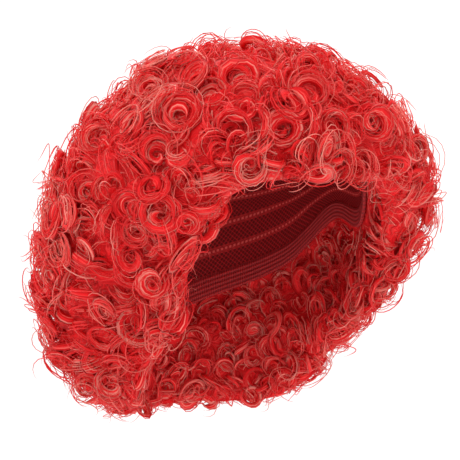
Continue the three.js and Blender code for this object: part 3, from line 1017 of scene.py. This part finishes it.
pile_material, pile, pile_shader = new_material("hair pile", 0.6, 0.2)
pile_place = add_node(pile, "ShaderNodeTexCoord").outputs["Object"]
pile_sway = add_node(pile, "ShaderNodeTexNoise", {"Vector": pile_place, "Scale": SWAY_SCALE})
bent_values = {0: pile_sway.outputs["Color"], 1: (SWAY, SWAY, SWAY), 2: pile_place}
pile_bent = add_node(pile, "ShaderNodeVectorMath", bent_values, operation="MULTIPLY_ADD")
curl_values = {"Vector": pile_bent.outputs[0], "Scale": CURLS_PER_METRE}
pile_curls = add_node(pile, "ShaderNodeTexVoronoi", curl_values).outputs
pile_cell = add_node(pile, "ShaderNodeSeparateXYZ", {0: pile_curls["Color"]}).outputs["X"]
pile_wave = math_node(
    pile, "MULTIPLY_ADD", pile_curls["Distance"], RINGS, math_node(pile, "MULTIPLY", pile_cell, CELL_SHIFT)
)
pile_rings = add_node(pile, "ShaderNodeCombineXYZ", {"X": pile_wave}).outputs[0]
drift_values = {0: pile_place, 1: (DRIFT, DRIFT, DRIFT), 2: pile_rings}
pile_drift = add_node(pile, "ShaderNodeVectorMath", drift_values, operation="MULTIPLY_ADD")
# The pile's tone of 0.1 sits at the ramp's deep red end, below the locks and strands: painted shade in the
# gaps between the ringlets.
add_dye_and_painted_light(pile, pile_shader, pile_drift.outputs[0], 3, 4.2, 0.1, 3 * MM, 1.0)

# %% Rows finished
for row, piece in enumerate(row_pieces, start=1):
    for material in (strand_material, lock_material, pile_material):
        piece.data.materials.append(material)
    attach(piece, "root")
    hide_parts(f"weft_row_{row}")

# %% [markdown]
# ## The cap
# Inside the hair sits a stretch cap: a fine net, on which the hair's wefts are sewn in rows, with an
# elastic hem. A flat grid is wrapped over the skull's form, closed in front and at the crown, and given a
# wall of 1.5 mm.

# %% The cap's form
CAP_EASE, CAP_WALL = 1 * MM, 1.5 * MM


def skull_point(azimuth, share, offset):
    """A point share of the way from the cap's edge to the crown, on the skull grown by offset."""
    edge = cap_edge_height(azimuth)
    edge_angle = np.arcsin(edge / np.where(edge > 0, HEAD_RISE, SKULL_DEPTH))
    angle = edge_angle + (math.pi / 2 - edge_angle) * share
    height = np.sin(angle) * (np.where(angle > 0, HEAD_RISE, SKULL_DEPTH) + offset)
    reach = ellipse_reach(azimuth, HEAD_HALF_WIDTH + offset, HEAD_HALF_LENGTH + offset) * np.cos(angle)
    return place_at(azimuth, reach, height)


def apply_modifier(sheet, name, kind, **settings):
    """Adds a modifier with its settings and applies it."""
    modifier = sheet.modifiers.new(name, kind)
    for setting, value in settings.items():
        setattr(modifier, setting, value)
    bpy.ops.object.modifier_apply(modifier=modifier.name)


def wrap_grid(name, around, up, low, high, offset, wall, gathers):
    """A sheet wrapped round the skull from one share of its height to another, with a wall."""
    bpy.ops.object.select_all(action="DESELECT")
    bpy.ops.mesh.primitive_grid_add(x_subdivisions=around, y_subdivisions=up, size=2)
    sheet = bpy.context.object
    sheet.name = name
    flat = np.empty(3 * len(sheet.data.vertices))
    sheet.data.vertices.foreach_get("co", flat)
    flat = flat.reshape(-1, 3)
    azimuth = 180 + 180 * flat[:, 0]
    share = low + (high - low) * (flat[:, 1] + 1) / 2
    sheet.data.vertices.foreach_set("co", skull_point(azimuth, share, offset).ravel())
    sheet.data.uv_layers[0].name = "cap map"
    bpy.ops.object.mode_set(mode="EDIT")
    bpy.ops.mesh.select_all(action="SELECT")
    bpy.ops.mesh.remove_doubles(threshold=0.00002)
    bpy.ops.mesh.normals_make_consistent(inside=False)
    bpy.ops.object.mode_set(mode="OBJECT")
    if gathers:
        folds = bpy.data.textures.new("gathers", "CLOUDS")
        folds.noise_scale = 4 * MM
        apply_modifier(sheet, "gathers", "DISPLACE", strength=gathers, texture=folds, texture_coords="LOCAL")
    apply_modifier(sheet, "wall", "SOLIDIFY", thickness=wall, offset=0)
    apply_modifier(sheet, "rounding", "BEVEL", width=wall * 0.3, segments=2)
    bpy.ops.object.shade_smooth()
    print(name, len(sheet.data.polygons), "faces")
    return sheet


net_cap = wrap_grid("net_cap", 108, 36, 0.02, 1, CAP_EASE + CAP_WALL / 2, CAP_WALL, 0)
cap_hem = wrap_grid("cap_hem", 180, 4, 0, 0.06, CAP_EASE + 0.3 * MM, 2.6 * MM, 0.6 * MM)

# %% [markdown]
# The net is knitted in small diamonds. Fifteen wefts run round it, 15 mm apart at the nape and half of that
# above the brow. Each is a band of fibres under a line of short stitches. All of it is drawn on the cap's
# own flat map, which runs round the head and up to the crown.

# %% Net and wefts
MESHES_ROUND, MESHES_UP = 180, 75
WEFTS, STITCHES_ROUND = 15, 190
WEFT_EDGE, STITCH_EDGE, STITCH_GAP = 0.34, 0.45, -0.2
FUZZ_SCALE = 420


def mix_colors(tree, mask, first, second):
    """A mix of two colours or sockets by a mask."""
    node = add_node(tree, "ShaderNodeMix", {"Factor": mask}, data_type="RGBA")
    for name, value in (("A", first), ("B", second)):
        socket = [item for item in node.inputs if item.name == name and item.type == "RGBA"][0]
        if isinstance(value, tuple):
            socket.default_value = (*value, 1)
        else:
            tree.links.new(value, socket)
    return [item for item in node.outputs if item.type == "RGBA"][0]


def cap_axes(tree):
    """How far round the head and how far up to the crown a point of the cap lies, as shares."""
    place = add_node(tree, "ShaderNodeUVMap", uv_map="cap map")
    axes = add_node(tree, "ShaderNodeSeparateXYZ", {0: place.outputs["UV"]})
    return axes.outputs["X"], axes.outputs["Y"]


net_material, net, net_shader = new_material("cap net and wefts", 0.75, 0.2)
across, upward = cap_axes(net)
round_angle = math_node(net, "MULTIPLY", across, MESHES_ROUND * math.pi)
up_angle = math_node(net, "MULTIPLY", upward, MESHES_UP * math.pi)
slants = [math_node(net, operation, round_angle, up_angle) for operation in ("ADD", "SUBTRACT")]
knit = [math_node(net, "ABSOLUTE", math_node(net, "SINE", slant)) for slant in slants]
knitted = math_node(net, "MULTIPLY", math_node(net, "MULTIPLY", *knit), 1.6)
opening_in_shade = math_node(net, "SMOOTH_MIN", knitted, 1.0, 0.1)
weft_wave = math_node(net, "PINGPONG", math_node(net, "MULTIPLY", upward, WEFTS), 0.5)
weft = math_node(net, "GREATER_THAN", weft_wave, WEFT_EDGE)
stitch_line = math_node(net, "GREATER_THAN", weft_wave, STITCH_EDGE)
stitch_wave = math_node(net, "SINE", math_node(net, "MULTIPLY", across, STITCHES_ROUND * 2 * math.pi))
stitch = math_node(net, "MULTIPLY", stitch_line, math_node(net, "GREATER_THAN", stitch_wave, STITCH_GAP))
net_place = add_node(net, "ShaderNodeTexCoord").outputs["Object"]
fuzz = add_node(net, "ShaderNodeTexNoise", {"Vector": net_place, "Scale": FUZZ_SCALE}).outputs["Fac"]
# The openings of the net are near black: painted shade seen through them.
net_and_opening_shade_color = mix_colors(net, opening_in_shade, (0.46, 0.012, 0.016), (0.13, 0.003, 0.004))
weft_color = mix_colors(net, fuzz, (0.3, 0.006, 0.009), (0.62, 0.03, 0.03))
banded = mix_colors(net, weft, net_and_opening_shade_color, weft_color)
net.links.new(mix_colors(net, stitch, banded, (0.78, 0.1, 0.09)), net_shader.inputs["Base Color"])
relief = math_node(net, "ADD", math_node(net, "MULTIPLY", weft, 0.7), math_node(net, "MULTIPLY", stitch, 0.5))
relief = math_node(net, "SUBTRACT", relief, math_node(net, "MULTIPLY", opening_in_shade, 0.3))
add_relief(net, net_shader, math_node(net, "MULTIPLY_ADD", fuzz, 0.3, relief), 1 * MM)
net_cap.data.materials.append(net_material)

# %% [markdown]
# The hem is an elastic ribbon. Close up it has upright ribs, crossed by a few rows of stretch thread.

# %% Elastic hem
HEM_RIBS, HEM_THREADS = 320, 5

hem_material, hem, hem_shader = new_material("elastic hem", 0.7, 0.5)
across, upward = cap_axes(hem)
rib = math_node(hem, "SINE", math_node(hem, "MULTIPLY", across, HEM_RIBS * 2 * math.pi))
thread = math_node(hem, "SINE", math_node(hem, "MULTIPLY", upward, HEM_THREADS * 2 * math.pi))
weave_and_groove_shade = math_node(hem, "MULTIPLY_ADD", math_node(hem, "ADD", rib, thread), 0.25, 0.5)
# The hem is dark where its ribs and threads sink and light where they rise: painted shade in its grooves.
hem_color_with_groove_shade = mix_colors(hem, weave_and_groove_shade, (0.22, 0.004, 0.007), (0.6, 0.02, 0.022))
hem.links.new(hem_color_with_groove_shade, hem_shader.inputs["Base Color"])
add_relief(hem, hem_shader, weave_and_groove_shade, 0.8 * MM)
cap_hem.data.materials.append(hem_material)

for piece in (net_cap, cap_hem):
    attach(piece, "root")
    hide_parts("cap")
